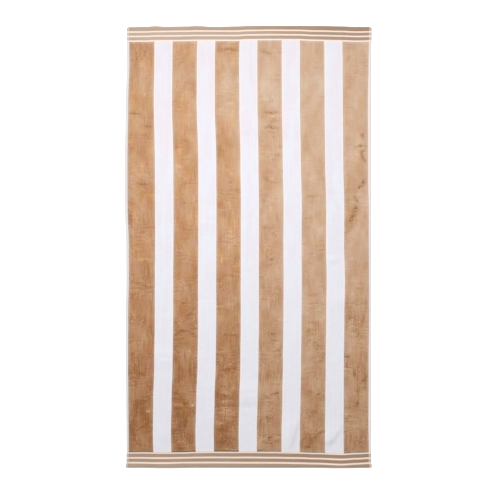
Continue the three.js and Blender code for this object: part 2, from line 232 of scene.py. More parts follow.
NAP_MARKS = [
    # First tan stripe
    Mark(-0.418, 0.806, 80, 0.030, 0.009, 0.50),
    Mark(-0.463, 0.765, 90, 0.070, 0.010, 0.50),
    Mark(-0.463, 0.537, 0, 0.040, 0.008, 0.95),
    Mark(-0.410, 0.488, -4, 0.034, 0.008, 0.80),
    Mark(-0.440, 0.254, 3, 0.046, 0.008, 0.80),
    Mark(-0.430, -0.053, 0, 0.044, 0.010, -0.60),
    Mark(-0.435, -0.196, 30, 0.020, 0.008, -0.80),
    Mark(-0.460, -0.668, 88, 0.060, 0.014, 0.50),
    Mark(-0.402, -0.672, 8, 0.024, 0.007, -1.00),
    Mark(-0.432, -0.737, 30, 0.020, 0.008, 0.60),
    Mark(-0.439, -0.806, 88, 0.026, 0.008, 0.60),
    # Second tan stripe
    Mark(-0.262, 0.765, 50, 0.050, 0.012, 0.50),
    Mark(-0.290, 0.326, -4, 0.024, 0.010, -0.50),
    Mark(-0.265, 0.179, 0, 0.040, 0.009, 0.30),
    Mark(-0.239, -0.277, 0, 0.018, 0.010, 0.55),
    Mark(-0.279, -0.346, 20, 0.035, 0.012, 0.50),
    Mark(-0.290, -0.643, 0, 0.024, 0.007, -0.85),
    Mark(-0.226, -0.645, 0, 0.018, 0.014, -0.90),
    Mark(-0.285, -0.660, 0, 0.028, 0.007, 0.65),
    Mark(-0.287, -0.688, -4, 0.024, 0.007, 0.65),
    Mark(-0.253, -0.724, 86, 0.035, 0.009, 0.55),
    Mark(-0.273, -0.798, 60, 0.018, 0.012, -0.65),
    # Third tan stripe
    Mark(-0.096, 0.819, 0, 0.024, 0.006, -0.60),
    Mark(-0.063, 0.806, 0, 0.042, 0.007, 1.05),
    Mark(-0.108, 0.802, 4, 0.036, 0.007, 0.50),
    Mark(-0.112, 0.555, 0, 0.022, 0.007, -0.50),
    Mark(-0.080, 0.300, -36, 0.040, 0.008, -0.55),
    Mark(-0.078, 0.260, 20, 0.024, 0.009, 0.55),
    Mark(-0.098, 0.150, 0, 0.032, 0.006, -0.90),
    Mark(-0.112, -0.050, 75, 0.030, 0.010, -0.70),
    Mark(-0.078, -0.118, 0, 0.040, 0.008, 0.55),
    Mark(-0.086, -0.232, -8, 0.024, 0.006, -0.80),
    Mark(-0.077, -0.362, -10, 0.044, 0.008, 0.75),
    Mark(-0.098, -0.500, 5, 0.034, 0.007, 0.55),
    Mark(-0.094, -0.523, -38, 0.026, 0.007, -0.85),
    Mark(-0.089, -0.597, -8, 0.034, 0.007, -0.90),
    Mark(-0.089, -0.615, -18, 0.040, 0.007, 0.80),
    Mark(-0.092, -0.632, 0, 0.040, 0.006, -1.10),
    Mark(-0.094, -0.668, 15, 0.030, 0.011, -0.75),
    Mark(-0.110, -0.718, 0, 0.024, 0.012, -0.65),
    Mark(-0.100, -0.749, -12, 0.040, 0.008, 0.70),
    Mark(-0.102, -0.802, -10, 0.034, 0.012, 0.45),
    Mark(-0.078, -0.827, -3, 0.050, 0.005, -0.95),
    # Fourth tan stripe
    Mark(0.130, 0.794, 90, 0.030, 0.008, 0.60),
    Mark(0.070, 0.790, -12, 0.040, 0.014, 0.70),
    Mark(0.094, 0.590, 10, 0.016, 0.008, 0.70),
    Mark(0.094, 0.545, -2, 0.036, 0.007, 1.25),
    Mark(0.095, 0.533, 0, 0.030, 0.006, -0.40),
    Mark(0.100, 0.520, -12, 0.026, 0.006, 0.70),
    Mark(0.102, 0.504, 8, 0.026, 0.006, 0.70),
    Mark(0.097, 0.484, 0, 0.046, 0.009, 1.20),
    Mark(0.096, 0.466, -6, 0.030, 0.006, 0.70),
    Mark(0.104, 0.449, 10, 0.022, 0.006, 0.60),
    Mark(0.122, 0.404, 5, 0.014, 0.008, 0.90),
    Mark(0.113, 0.374, 0, 0.022, 0.011, 0.80),
    Mark(0.090, 0.322, -20, 0.030, 0.008, -0.45),
    Mark(0.098, 0.291, 5, 0.036, 0.006, -0.55),
    Mark(0.090, 0.277, 20, 0.016, 0.008, -0.70),
    Mark(0.072, 0.273, -35, 0.024, 0.009, 0.95),
    Mark(0.104, 0.258, -5, 0.036, 0.006, 0.55),
    Mark(0.072, 0.077, -15, 0.026, 0.008, 0.55),
    Mark(0.089, -0.050, 60, 0.010, 0.009, 1.00),
    Mark(0.100, -0.355, -10, 0.034, 0.012, 0.30),
    Mark(0.106, -0.600, 15, 0.026, 0.007, 0.65),
    Mark(0.072, -0.610, -20, 0.022, 0.006, 0.85),
    Mark(0.080, -0.700, -25, 0.018, 0.009, 0.65),
    Mark(0.069, -0.770, 20, 0.016, 0.007, 0.80),
    Mark(0.104, -0.775, -45, 0.024, 0.007, -0.60),
    Mark(0.090, -0.779, 50, 0.020, 0.008, 0.90),
    # Fifth tan stripe
    Mark(0.255, 0.203, 0, 0.042, 0.007, 0.60),
    Mark(0.255, -0.195, 0, 0.042, 0.008, 0.50),
    # Painted shade of a crease, darkening the nap along it
    Mark(0.294, -0.757, 28, 0.026, 0.010, 0.58),
    Mark(0.275, -0.772, 42, 0.028, 0.009, 0.50),
    Mark(0.259, -0.790, 50, 0.022, 0.008, 0.30),
    Mark(0.249, -0.816, 82, 0.034, 0.009, 0.25),
    # Sixth tan stripe
    Mark(0.412, 0.768, 70, 0.024, 0.012, 0.65),
    Mark(0.405, 0.645, 0, 0.020, 0.009, 0.80),
    Mark(0.467, 0.452, 80, 0.018, 0.011, 1.10),
    Mark(0.460, 0.408, 8, 0.048, 0.008, 1.20),
    Mark(0.479, 0.392, 60, 0.018, 0.008, 0.90),
    Mark(0.464, 0.374, 85, 0.030, 0.010, 1.10),
    Mark(0.446, 0.366, 88, 0.036, 0.010, -0.45),
    Mark(0.472, 0.350, -55, 0.022, 0.008, 1.05),
    Mark(0.471, 0.261, 60, 0.024, 0.011, 1.35),
    Mark(0.453, 0.240, 25, 0.022, 0.009, 1.10),
    Mark(0.440, 0.190, -60, 0.020, 0.010, 1.00),
    Mark(0.432, 0.152, 25, 0.028, 0.018, 0.80),
    Mark(0.418, 0.114, 58, 0.038, 0.016, 0.80),
    Mark(0.392, 0.078, 88, 0.046, 0.009, 0.70),
    Mark(0.405, 0.070, 60, 0.036, 0.018, 0.70),
    Mark(0.438, -0.232, 0, 0.060, 0.008, 0.80),
    Mark(0.406, -0.289, 0, 0.018, 0.014, 0.75),
    Mark(0.467, -0.293, 88, 0.036, 0.012, 0.65),
    Mark(0.440, -0.362, 30, 0.011, 0.009, 0.90),
    Mark(0.396, -0.445, -10, 0.024, 0.013, 0.60),
    Mark(0.428, -0.513, 88, 0.026, 0.012, 0.60),
    Mark(0.470, -0.542, 80, 0.024, 0.011, 0.70),
    Mark(0.445, -0.636, 60, 0.020, 0.010, 0.70),
    Mark(0.398, -0.655, 0, 0.016, 0.010, 0.60),
    Mark(0.451, -0.700, -50, 0.018, 0.008, 0.60),
]
MARK_WARP = 0.005
MARK_WARP_CELL = 0.018

# Patches where the tan is paler, or warmer below 0, in the same columns and order
PALE_PATCHES = [
    Mark(-0.415, 0.790, 90, 0.070, 0.045, -0.40),
    Mark(-0.434, 0.710, 90, 0.110, 0.030, 0.35),
    Mark(-0.415, 0.640, 90, 0.090, 0.045, 0.40),
    Mark(-0.260, 0.680, 90, 0.300, 0.080, 0.35),
    Mark(-0.070, 0.790, 90, 0.060, 0.070, -0.45),
    Mark(-0.065, 0.655, 90, 0.110, 0.045, 0.35),
    Mark(-0.087, 0.640, 90, 0.300, 0.080, 0.75),
    Mark(0.087, 0.665, 90, 0.120, 0.080, 0.55),
    Mark(0.087, 0.100, 90, 0.600, 0.090, -0.35),
    Mark(0.280, 0.680, 90, 0.250, 0.045, 0.30),
    Mark(0.260, -0.740, 90, 0.140, 0.080, -0.40),
    Mark(0.434, 0.250, 90, 0.250, 0.080, -0.25),
    Mark(0.412, 0.115, 62, 0.090, 0.030, -0.45),
]

# Colours of the cloth, some of them painted shade and painted light, as 8-bit sRGB values
TAN_WARM = (197, 152, 114)
TAN_PALE = (203, 169, 141)
DEEP_WARM = (165, 115, 76)
DEEP_PALE = (183, 141, 106)
NAP_DARK = (136, 94, 63)
PILE_END_SHADE = (112, 86, 52)
WHITE_COOL = (228, 230, 238)
WHITE_WARM = (231, 222, 229)
WHITE_LOW = (231, 230, 237)
WHITE_SHADE = (215, 214, 222)
WHITE_EDGE_BOUNCE = (248, 229, 219)
WHITE_END_LIGHT = (255, 250, 248)
FLAT_TAN = (195, 172, 156)
FLAT_TAN_DEEP = (163, 134, 112)
LINE_WHITE = (252, 230, 213)
HEM_WHITE = (222, 219, 218)
HEM_HIGHLIGHT = (244, 224, 211)
THREAD_WHITE = (232, 226, 220)
THREAD_TAN = (190, 167, 149)


def ease(share):
    """A share from 0 to 1 that starts and ends level."""
    t = np.clip(share, 0.0, 1.0)
    return t * t * (3 - 2 * t)


def hump(offset):
    """A round hump: 1 in the middle, 0 and level from one half width outwards."""
    return np.where(np.abs(offset) < 1, (1 - offset * offset) ** 2, 0.0)


def between(stops, values, place):
    """Values given at stops, read at each place, passing smoothly from stop to stop.
    values has one row for each stop, and may have a further column for each place."""
    stops = np.asarray(stops, float)
    values = np.asarray(values, float)
    before = np.clip(np.searchsorted(stops, place) - 1, 0, len(stops) - 2)
    share = ease((place - stops[before]) / (stops[before + 1] - stops[before]))
    if values.ndim == 1:
        low, high = values[before], values[before + 1]
    else:
        column = np.arange(len(place))
        low, high = values[before, column], values[before + 1, column]
    return low + (high - low) * share


def columns_at(rows, place):
    """The further columns of rows, read at each place by their first column."""
    stops, *columns = zip(*rows)
    return [between(stops, column, place) for column in columns]


def sway(across, along):
    """Sideways shift of the warp."""
    return between(SWAY_ACROSS, columns_at(SWAY, along), across)


def pull(across, along):
    """Sideways shift of the side hems' inner edges, which fades out over the field."""
    from_side = HALF_WIDTH - np.abs(across)
    left, right = columns_at(HEM_PULL, along)
    share = ease(from_side / SIDE_HEM) * (1 - ease(from_side / PULL_REACH))
    return np.where(across > 0, right, left) * share


def bow(across, along):
    """Shift of the ends along the towel, which fades out over the field."""
    from_end = HALF_LENGTH - np.abs(along)
    over_hem = ease(from_end / END_HEM)
    upper_edge, upper, lower, lower_pull = columns_at(END_BOW, across)
    upper = upper_edge + (upper - upper_edge) * over_hem
    lower = lower * over_hem + lower_pull * ease(from_end / BORDER)
    return np.where(along > 0, upper, lower) * (1 - ease(from_end / BOW_REACH))


def soft_shape(row, across, along, back=None):
    """A soft ellipse around a row's centre, 1 in the middle and 0 from its rim outwards. Left
    of its long axis it is as wide as back says, if that is given."""
    turn = math.radians(row.turn)
    dx, dy = across - row.across, along - row.along
    on_axis = dx * math.cos(turn) + dy * math.sin(turn)
    off_axis = dy * math.cos(turn) - dx * math.sin(turn)
    wide = np.where(off_axis > 0, back or row.spread, row.spread)
    return hump(on_axis / row.reach) * hump(off_axis / wide)


def fold_height(fold, across, along):
    """Height of one ripple or crease."""
    return fold.height * soft_shape(fold, across, along, fold.back)


def marked(marks, across, along):
    """Sum of soft marks, with their outlines warped a little."""
    aside = MARK_WARP * value_noise(across, along, MARK_WARP_CELL, ASIDE_SEED)
    ahead = MARK_WARP * value_noise(across, along, MARK_WARP_CELL, AHEAD_SEED)
    return sum(mark.amount * soft_shape(mark, across + aside, along + ahead) for mark in marks)


def lift(across, along):
    """Height of the underside over the surface that the towel lies on."""
    heights = [fold_height(fold, across, along) for fold in RIPPLES]
    return np.maximum.reduce([np.zeros_like(across), *heights])


def value_noise(across, along, cell, seed):
    """Smooth noise from -1 to 1, with one random value at each corner of a lattice."""
    cell_across, cell_along = np.broadcast_to(cell, 2)
    u, v = (across + WIDTH) / cell_across, (along + LENGTH) / cell_along
    i, j = np.floor(u).astype(int), np.floor(v).astype(int)
    lattice = np.random.default_rng(seed).uniform(-1, 1, (i.max() + 2, j.max() + 2))
    s, t = ease(u - i), ease(v - j)
    low = lattice[i, j] * (1 - s) + lattice[i + 1, j] * s
    high = lattice[i, j + 1] * (1 - s) + lattice[i + 1, j + 1] * s
    return low * (1 - t) + high * t


def past(from_edge, step_at):
    """Share of the way over a step in thickness at a distance in from an edge."""
    return ease((from_edge - step_at) / STEP_RUN + 0.5)


def middle_and_half(line):
    """Middle and half width of a border line."""
    return (line.near + line.far) / 2, (line.far - line.near) / 2


def hem(from_edge, stitch_at):
    """Thickness of a turned hem: puffed up between its edge and its row of stitches."""
    half = stitch_at / 2
    puffed = HEM_THICKNESS + HEM_PUFF * hump((from_edge - half) / half)
    return puffed - STITCH_SINK * hump((from_edge - stitch_at) / STITCH_SPREAD)


def thickness(across, along):
    """Cloth between its underside and its face: hems, ribs, pile and creases."""
    from_side = HALF_WIDTH - np.abs(across)
    from_end = HALF_LENGTH - np.abs(along)
    on_pile = past(from_end, BORDER) * past(from_side, SIDE_HEM)

    flat = FLAT_THICKNESS + np.zeros_like(across)
    for line in BORDER_LINES:
        middle, half = middle_and_half(line)
        flat += RIB_RISE * hump((from_end - middle) / (RIB_TO_LINE * half))
    body = flat + (PILE_THICKNESS - flat) * past(from_end, BORDER)
    end_hem, side_hem = hem(from_end, END_STITCH), hem(from_side, SIDE_STITCH)
    body = end_hem + (body - end_hem) * past(from_end, END_HEM)
    body = side_hem + (body - side_hem) * past(from_side, SIDE_HEM)

    nap = NAP_RELIEF * value_noise(across, along, NAP_CELL, NAP_SEED)
    nap += STREAK_RELIEF * value_noise(across, along, STREAK_CELL, STREAK_SEED)
    creases = sum(fold_height(fold, across, along) for fold in CREASES)
    return body + on_pile * (nap + creases)


def round_corner(across, along):
    """Draws a square corner of the sheet in to a round one."""
    centre_x, centre_y = HALF_WIDTH - CORNER_ROUND, HALF_LENGTH - CORNER_ROUND
    x = np.clip((np.abs(across) - centre_x) / CORNER_ROUND, 0, None)
    y = np.clip((np.abs(along) - centre_y) / CORNER_ROUND, 0, None)
    in_corner = (x > 0) & (y > 0)
    round_x = np.sign(across) * (centre_x + CORNER_ROUND * x * np.sqrt(1 - y * y / 2))
    round_y = np.sign(along) * (centre_y + CORNER_ROUND * y * np.sqrt(1 - x * x / 2))
    return np.where(in_corner, round_x, across), np.where(in_corner, round_y, along)


def cloth_points(across, along, share):
    """Points of the laid towel, a row each: share 0 is on its underside, 1 on its face."""
    x, y = round_corner(across, along)
    z = lift(x, y) + thickness(across, along) * share
    return np.column_stack((x + sway(x, y) + pull(x, y), y + bow(x, y), z))


def evenly(start, end, pitch):
    """Evenly spaced places from start to end, both of them in."""
    return np.linspace(start, end, max(2, math.ceil((end - start) / pitch) + 1))


def mesh_lines(half, edge, edge_pitch):
    """Mesh lines over one direction: close over the hems, wider over the field."""
    near = evenly(EDGE_ROUND, edge, edge_pitch) - half
    field = evenly(edge - half, half - edge, FIELD_PITCH)
    return np.concatenate((near, field[1:-1], -near[::-1]))


def boundary_of(columns, rows):
    """Indices of a grid's boundary points, once round from the lower left."""
    grid = np.arange(columns * rows).reshape(rows, columns)
    return np.concatenate((grid[0, :-1], grid[:-1, -1], grid[-1, :0:-1], grid[:0:-1, 0]))


def underside_lines(lines, edge):
    """Which of the mesh lines the underside keeps: its hem's lines and every few others."""
    first = int(np.searchsorted(lines, lines[0] + edge - EDGE_ROUND))
    last = len(lines) - 1 - first
    inner = list(range(first, last, UNDERSIDE_BLOCK))
    return [0, *inner, last, len(lines) - 1]


def underside_faces(across_kept, along_kept, columns, rows):
    """Wide faces of the underside as loops of grid indices. A face on the boundary takes in
    every boundary point, so that it joins the rim, and a loop runs clockwise from above."""
    faces = []
    for b in range(len(along_kept) - 1):
        for a in range(len(across_kept) - 1):
            left, right = across_kept[a], across_kept[a + 1]
            low, high = along_kept[b], along_kept[b + 1]
            span_x = list(range(left, right + 1))
            span_y = list(range(low, high + 1))
            bottom = span_x if low == 0 else [left, right]
            top = span_x if high == rows - 1 else [left, right]
            west = span_y if left == 0 else [low, high]
            east = span_y if right == columns - 1 else [low, high]
            loop = [(i, low) for i in bottom[:-1]]
            loop += [(right, j) for j in east[:-1]]
            loop += [(i, high) for i in top[:0:-1]]
            loop += [(left, j) for j in west[:0:-1]]
            faces.append([j * columns + i for i, j in reversed(loop)])
    return faces


def join_mesh(name, points, faces, materials, slots):
    """A smooth mesh object from points, faces and each face's material slot."""
    mesh = bpy.data.meshes.new(name)
    mesh.from_pydata(points.tolist(), [], faces)
    for material in materials:
        mesh.materials.append(material)
    mesh.polygons.foreach_set("material_index", np.asarray(slots, np.int32))
    mesh.polygons.foreach_set("use_smooth", np.ones(len(faces), bool))
    mesh.update()
    piece = bpy.data.objects.new(name, mesh)
    bpy.context.scene.collection.objects.link(piece)
    return piece


def keep_pairs(piece, name, first, second):
    """Stores two values for each point as a UV map, for the materials to read."""
    mesh = piece.data
    corner = np.empty(len(mesh.loops), np.int32)
    mesh.loops.foreach_get("vertex_index", corner)
    pairs = np.column_stack((first, second))[corner].astype(np.float32)
    mesh.uv_layers.new(name=name).data.foreach_set("uv", pairs.ravel())


# Maps of the mesh, across with along and marks with paler patches, and its material slots
CLOTH_MAP = "cloth"
NAP_MAP = "nap"
VELOUR, FLAT_WEAVE, SIDE_CLOTH, LOOP_BACK = range(4)


def cloth_slot(across, along, on_face):
    """Material slot of the cloth at a place on its face or its underside."""
    if HALF_WIDTH - abs(across) < SIDE_HEM:
        return SIDE_CLOTH
    if HALF_LENGTH - abs(along) < BORDER:
        return FLAT_WEAVE
    return VELOUR if on_face else LOOP_BACK


def rim_places(across_lines, along_lines, across, along):
    """Places of the rolled rim's rings, from the face down to the underside."""
    out_across = np.where(np.isin(across, across_lines[[0, -1]]), np.sign(across), 0)
    out_along = np.where(np.isin(along, along_lines[[0, -1]]), np.sign(along), 0)
    for step in range(1, RIM_STEPS):
        angle = math.pi * (0.5 - step / RIM_STEPS)
        out = EDGE_ROUND * math.cos(angle)
        yield across + out_across * out, along + out_along * out, 0.5 + 0.5 * math.sin(angle)


def grid_quads(columns, rows):
    """Faces of a grid of points."""
    corner = (np.arange(rows - 1)[:, None] * columns + np.arange(columns - 1)).ravel()
    return np.column_stack((corner, corner + 1, corner + columns + 1, corner + columns)).tolist()


def rim_quads(rings):
    """Faces between each ring of points and the next one down."""
    quads = [
        np.column_stack((below, np.roll(below, -1), np.roll(above, -1), above))
        for above, below in zip(rings, rings[1:])
    ]
    return np.concatenate(quads).tolist()


def make_cloth(materials):
    """The towel as one closed sheet: a fine face, a rolled rim and a wider underside."""
    across_lines = mesh_lines(HALF_WIDTH, SIDE_HEM + STEP_RUN, HEM_PITCH)
    along_lines = mesh_lines(HALF_LENGTH, BORDER + STEP_RUN, BORDER_PITCH)
    columns, rows = len(across_lines), len(along_lines)
    grid_across = np.tile(across_lines, rows)
    grid_along = np.repeat(along_lines, columns)
    rim = boundary_of(columns, rows)
    across_kept = underside_lines(across_lines, SIDE_HEM)
    along_kept = underside_lines(along_lines, END_HEM)
    under_faces = underside_faces(across_kept, along_kept, columns, rows)
    under = np.unique(np.concatenate(under_faces))

    places = [
        (grid_across, grid_along, 1.0),
        *rim_places(across_lines, along_lines, grid_across[rim], grid_along[rim]),
        (grid_across[under], grid_along[under], 0.0),
    ]
    across = np.concatenate([place[0] for place in places])
    along = np.concatenate([place[1] for place in places])
    points = np.concatenate([cloth_points(*place) for place in places])

    # Where the rim's rings and the underside come among those points
    under_index = np.zeros(columns * rows, int)
    under_index[under] = len(points) - len(under) + np.arange(len(under))
    rings = [columns * rows + k * len(rim) + np.arange(len(rim)) for k in range(RIM_STEPS - 1)]
    rings = [rim, *rings, under_index[rim]]

    loops = [*grid_quads(columns, rows), *rim_quads(rings)]
    on_face = [True] * len(loops) + [False] * len(under_faces)
    loops += [under_index[face].tolist() for face in under_faces]
    slots = [
        cloth_slot(across[loop].mean(), along[loop].mean(), face)
        for loop, face in zip(loops, on_face)
    ]
    cloth = join_mesh("towel_cloth", points, loops, materials, slots)
    keep_pairs(cloth, CLOTH_MAP, across, along)
    deeper = marked([*NAP_PATCHES, *NAP_MARKS], across, along)
    paler = marked(PALE_PATCHES, across, along)
    keep_pairs(cloth, NAP_MAP, deeper, paler)
    return cloth


# Sewing of the hems
STITCH_LENGTH = 0.0027
STITCH_GAP = 0.0008
THREAD_RADIUS = 0.00032
THREAD_SIDES = 6
StitchRing = namedtuple("StitchRing", "along radius rise")
STITCH_RINGS = [
    StitchRing(-0.50, 0.5, -0.00035),
    StitchRing(-0.32, 1.0, 0.00005),
    StitchRing(0.00, 1.1, 0.00018),
    StitchRing(0.32, 1.0, 0.00005),
    StitchRing(0.50, 0.5, -0.00035),
]


def make_stitches(name, across, along, material):
    """One joined mesh of stitches that follow a run of places on the hem's face."""
    path = cloth_points(across, along, 1.0)
    step = np.diff(path, axis=0)
    middle = (path[1:] + path[:-1]) / 2
    way = step / np.linalg.norm(step, axis=1)[:, None]
    side = np.cross(way, (0.0, 0.0, 1.0))
    up = np.cross(side, way)
    turns = np.arange(THREAD_SIDES) * 2 * math.pi / THREAD_SIDES
    rings = []
    for ring in STITCH_RINGS:
        centre = middle + way * (ring.along * STITCH_LENGTH) + up * ring.rise
        for turn in turns:
            spoke = side * math.cos(turn) + up * math.sin(turn)
            rings.append(centre + spoke * (ring.radius * THREAD_RADIUS))
    points = np.stack(rings, axis=1).reshape(-1, 3)

    faces = []
    for r in range(len(STITCH_RINGS) - 1):
        for s in range(THREAD_SIDES):
            after = (s + 1) % THREAD_SIDES
            near, far = r * THREAD_SIDES, (r + 1) * THREAD_SIDES
            faces.append([near + s, near + after, far + after, far + s])
    last = (len(STITCH_RINGS) - 1) * THREAD_SIDES
    caps = [list(range(THREAD_SIDES))[::-1], list(range(last, last + THREAD_SIDES))]
    stitch = [*faces, *caps]
    each = len(STITCH_RINGS) * THREAD_SIDES
    loops = [[k * each + i for i in loop] for k in range(len(middle)) for loop in stitch]
    piece = join_mesh(name, points, loops, [material], [0] * len(loops))
    mid_across, mid_along = (across[1:] + across[:-1]) / 2, (along[1:] + along[:-1]) / 2
    keep_pairs(piece, CLOTH_MAP, np.repeat(mid_across, each), np.repeat(mid_along, each))
    return piece


def stitch_run(start, end):
    """Places between the stitches of a row."""
    return evenly(start, end, STITCH_LENGTH + STITCH_GAP)


def make_hem_sewing(white_thread, tan_thread):
    """Lockstitch rows: one along each side hem, one along each end hem."""
    pieces = []
    for name, side in (("left", -1), ("right", 1)):
        run = stitch_run(END_STITCH - HALF_LENGTH, HALF_LENGTH - END_STITCH)
        place = np.full_like(run, side * (HALF_WIDTH - SIDE_STITCH))
        pieces.append(make_stitches(f"{name}_hem_stitches", place, run, white_thread))
    for name, end in (("lower", -1), ("upper", 1)):
        run = stitch_run(SIDE_STITCH - HALF_WIDTH, HALF_WIDTH - SIDE_STITCH)
        place = np.full_like(run, end * (HALF_LENGTH - END_STITCH))
        pieces.append(make_stitches(f"{name}_hem_stitches", run, place, tan_thread))
    return pieces


def linear(colour):
    """A linear colour from an 8-bit sRGB one."""
    share = np.array(colour) / 255
    value = np.where(share <= 0.04045, share / 12.92, ((share + 0.055) / 1.055) ** 2.4)
    return (*value, 1.0)


# A noise: the size of its blotches across and along, its detail, shift and twist
Grain = namedtuple("Grain", "across along detail shift twist", defaults=(2.0, 0.0, 0.0))
NOISE_ROUGHNESS = 0.55

# A smooth change by place, distance or noise: where it starts and ends, and its value there
Change = namedtuple("Change", "low high start end", defaults=(0.0, 1.0))

CLOTH_SPECULAR = 0.2

# Sockets of the node that mixes two colours
MIX_SHARE, MIX_FIRST, MIX_SECOND, MIX_RESULT = 0, 6, 7, 2


class Shader:
    """A cloth material, with short calls for the nodes that its pattern needs."""

    def __init__(self, name, roughness, sheen, sheen_roughness):
        self.material = bpy.data.materials.new(name)
        self.material.use_nodes = True
        self.tree = self.material.node_tree
        self.surface = self.tree.nodes["Principled BSDF"]
        self.surface.inputs["Roughness"].default_value = roughness
        self.surface.inputs["Specular IOR Level"].default_value = CLOTH_SPECULAR
        self.surface.inputs["Sheen Weight"].default_value = sheen
        self.surface.inputs["Sheen Roughness"].default_value = sheen_roughness
        self.place = self.node("ShaderNodeUVMap", uv_map=CLOTH_MAP).outputs["UV"]
        self.across, self.along = self.pair(CLOTH_MAP)

    def put(self, socket, value):
        """Links another socket to a socket, or sets its value."""
        if isinstance(value, bpy.types.NodeSocket):
            self.tree.links.new(value, socket)
        else:
            socket.default_value = value

    def node(self, kind, inputs=None, **settings):
        """A new node with its settings made and its inputs put in."""
        node = self.tree.nodes.new(kind)
        for name, value in settings.items():
            setattr(node, name, value)
        for key, value in (inputs or {}).items():
            self.put(node.inputs[key], value)
        return node

    def pair(self, name):
        """The two values that a map of the mesh holds."""
        kept = self.node("ShaderNodeUVMap", uv_map=name).outputs["UV"]
        axes = self.node("ShaderNodeSeparateXYZ", {"Vector": kept})
        return axes.outputs["X"], axes.outputs["Y"]

    def maths(self, operation, *values):
        inputs = dict(enumerate(values))
        return self.node("ShaderNodeMath", inputs, operation=operation).outputs[0]

    def product(self, first, second):
        return self.maths("MULTIPLY", first, second)

    def sum(self, *terms):
        """Adds up terms, each a value or a (value, weight) pair."""
        total = 0.0
        for term in terms:
            value, weight = term if isinstance(term, tuple) else (term, 1.0)
            total = self.maths("MULTIPLY_ADD", value, weight, total)
        return total

    def rise(self, value, change):
        """Passes smoothly through a change as value goes from its low to its high."""
        inputs = {"Value": value, "From Min": change.low, "From Max": change.high,
                  "To Min": change.start, "To Max": change.end}
        return self.node("ShaderNodeMapRange", inputs, interpolation_type="SMOOTHSTEP").outputs[0]

    def noise(self, grain):
        """Noise around 0."""
        inputs = {"Vector": self.place, "Scale": (1 / grain.across, 1 / grain.along, 1.0),
                  "Location": (grain.shift, 2 * grain.shift, 0.0)}
        place = self.node("ShaderNodeMapping", inputs).outputs[0]
        inputs = {"Vector": place, "Scale": 1.0, "Detail": grain.detail,
                  "Roughness": NOISE_ROUGHNESS, "Distortion": grain.twist}
        noise = self.node("ShaderNodeTexNoise", inputs, noise_dimensions="2D")
        return self.maths("SUBTRACT", noise.outputs[0], 0.5)

    def waves(self, value, pitch):
        """A sine from -1 to 1 with one full wave for each pitch."""
        return self.maths("SINE", self.product(value, 2 * math.pi / pitch))

    def mix(self, share, first, second):
        """Mixes two colours, each a socket or an 8-bit sRGB colour."""
        node = self.node("ShaderNodeMix", data_type="RGBA", clamp_factor=False)
        self.put(node.inputs[MIX_SHARE], share)
        for key, colour in ((MIX_FIRST, first), (MIX_SECOND, second)):
            self.put(node.inputs[key], linear(colour) if isinstance(colour, tuple) else colour)
        return node.outputs[MIX_RESULT]

    def finish(self, colour, height, depth):
        """Sets the colour and a bump whose height of 1 stands depth metres high."""
        self.put(self.surface.inputs["Base Color"], colour)
        inputs = {"Height": height, "Distance": depth, "Strength": 1.0}
        bump = self.node("ShaderNodeBump", inputs)
        self.put(self.surface.inputs["Normal"], bump.outputs[0])
        return self.material


# Tan stripes: paler to the right, deeper towards the lower end, and greyer and darker at the
# edges as painted shade, with a painted shadow line at the lower border's step, fainter in places
OUTER_TAN_WIDENS = Change(LAST_TAN, LAST_TAN + TAN_STRIPE / 2, 0.0, LAST_TAN_EXTRA)
STRIPE_FUZZ = Grain(0.0022, 0.0022, shift=8.3)
FUZZ_REACH = 0.0022
STRIPE_EDGE = Change(-0.0006, 0.0006)
NAP_DEEPENS = Change(0.36, -0.90)
DEEPEST_NAP = 1.15
CRUSHED_NAP = Change(1.0, 2.05)
PALE_DRIFT = Grain(0.30, 0.42, shift=3.1)
PALE_SIDE = Change(-0.10, 0.12)
PALE_BLOTCH = Grain(0.055, 0.100, detail=3.0, shift=1.3)
HUE_DRIFT = Grain(0.034, 0.050, detail=3.0, shift=6.6)
SAME_HUE = 0.5
EDGE_SHADE_GREYS = Change(0.011, 0.002, 1.0, 0.6)
EDGE_SHADE_DARKENS = Change(0.010, 0.003, 1.0, 0.95)
LOWER_HALF = Change(0.4, -0.6)
END_STEP_SHADING = Change(0.0075, 0.002)
END_SHADE_LEFT = Change(-0.35, -0.26, 0.3, 0.75)
END_SHADE_RIGHT = Change(-0.06, 0.14, 1.0, 0.1)

# White stripes: cool or warm in patches, warmer up on the left, and creamy at the edges as painted
# warm bounce light
WHITE_DRIFT = Grain(0.05, 0.16, shift=2.2)
WHITE_TINT = Change(-0.12, 0.12, 0.12, 0.65)
WARMER_UP = Change(0.20, 0.65, 0.0, 0.36)
WARMER_LEFT = Change(0.20, 0.0, 0.4, 1.0)
WHITE_LOWERS = Change(0.25, -0.55, 0.0, 0.8)
WHITE_YARN = Grain(0.0045, 0.35, detail=1.0, shift=3.7)
EDGE_BOUNCE_RUN = Change(-0.0075, -0.0015)


def stripe_depth(shader):
    """Distance inside a tan stripe, in metres, below 0 in a white one."""
    aside = shader.maths("ABSOLUTE", shader.across)
    wrapped = shader.maths("WRAP", aside, REPEAT, 0.0)
    from_middle = shader.maths("ABSOLUTE", shader.maths("SUBTRACT", wrapped, FIRST_TAN))
    depth = shader.maths("SUBTRACT", TAN_STRIPE / 2, from_middle)
    depth = shader.maths("ADD", depth, shader.rise(aside, OUTER_TAN_WIDENS))
    return shader.sum(depth, (shader.noise(STRIPE_FUZZ), FUZZ_REACH))


def end_distance(shader):
    """Distance in from the nearer end."""
    return shader.maths("SUBTRACT", HALF_LENGTH, shader.maths("ABSOLUTE", shader.along))


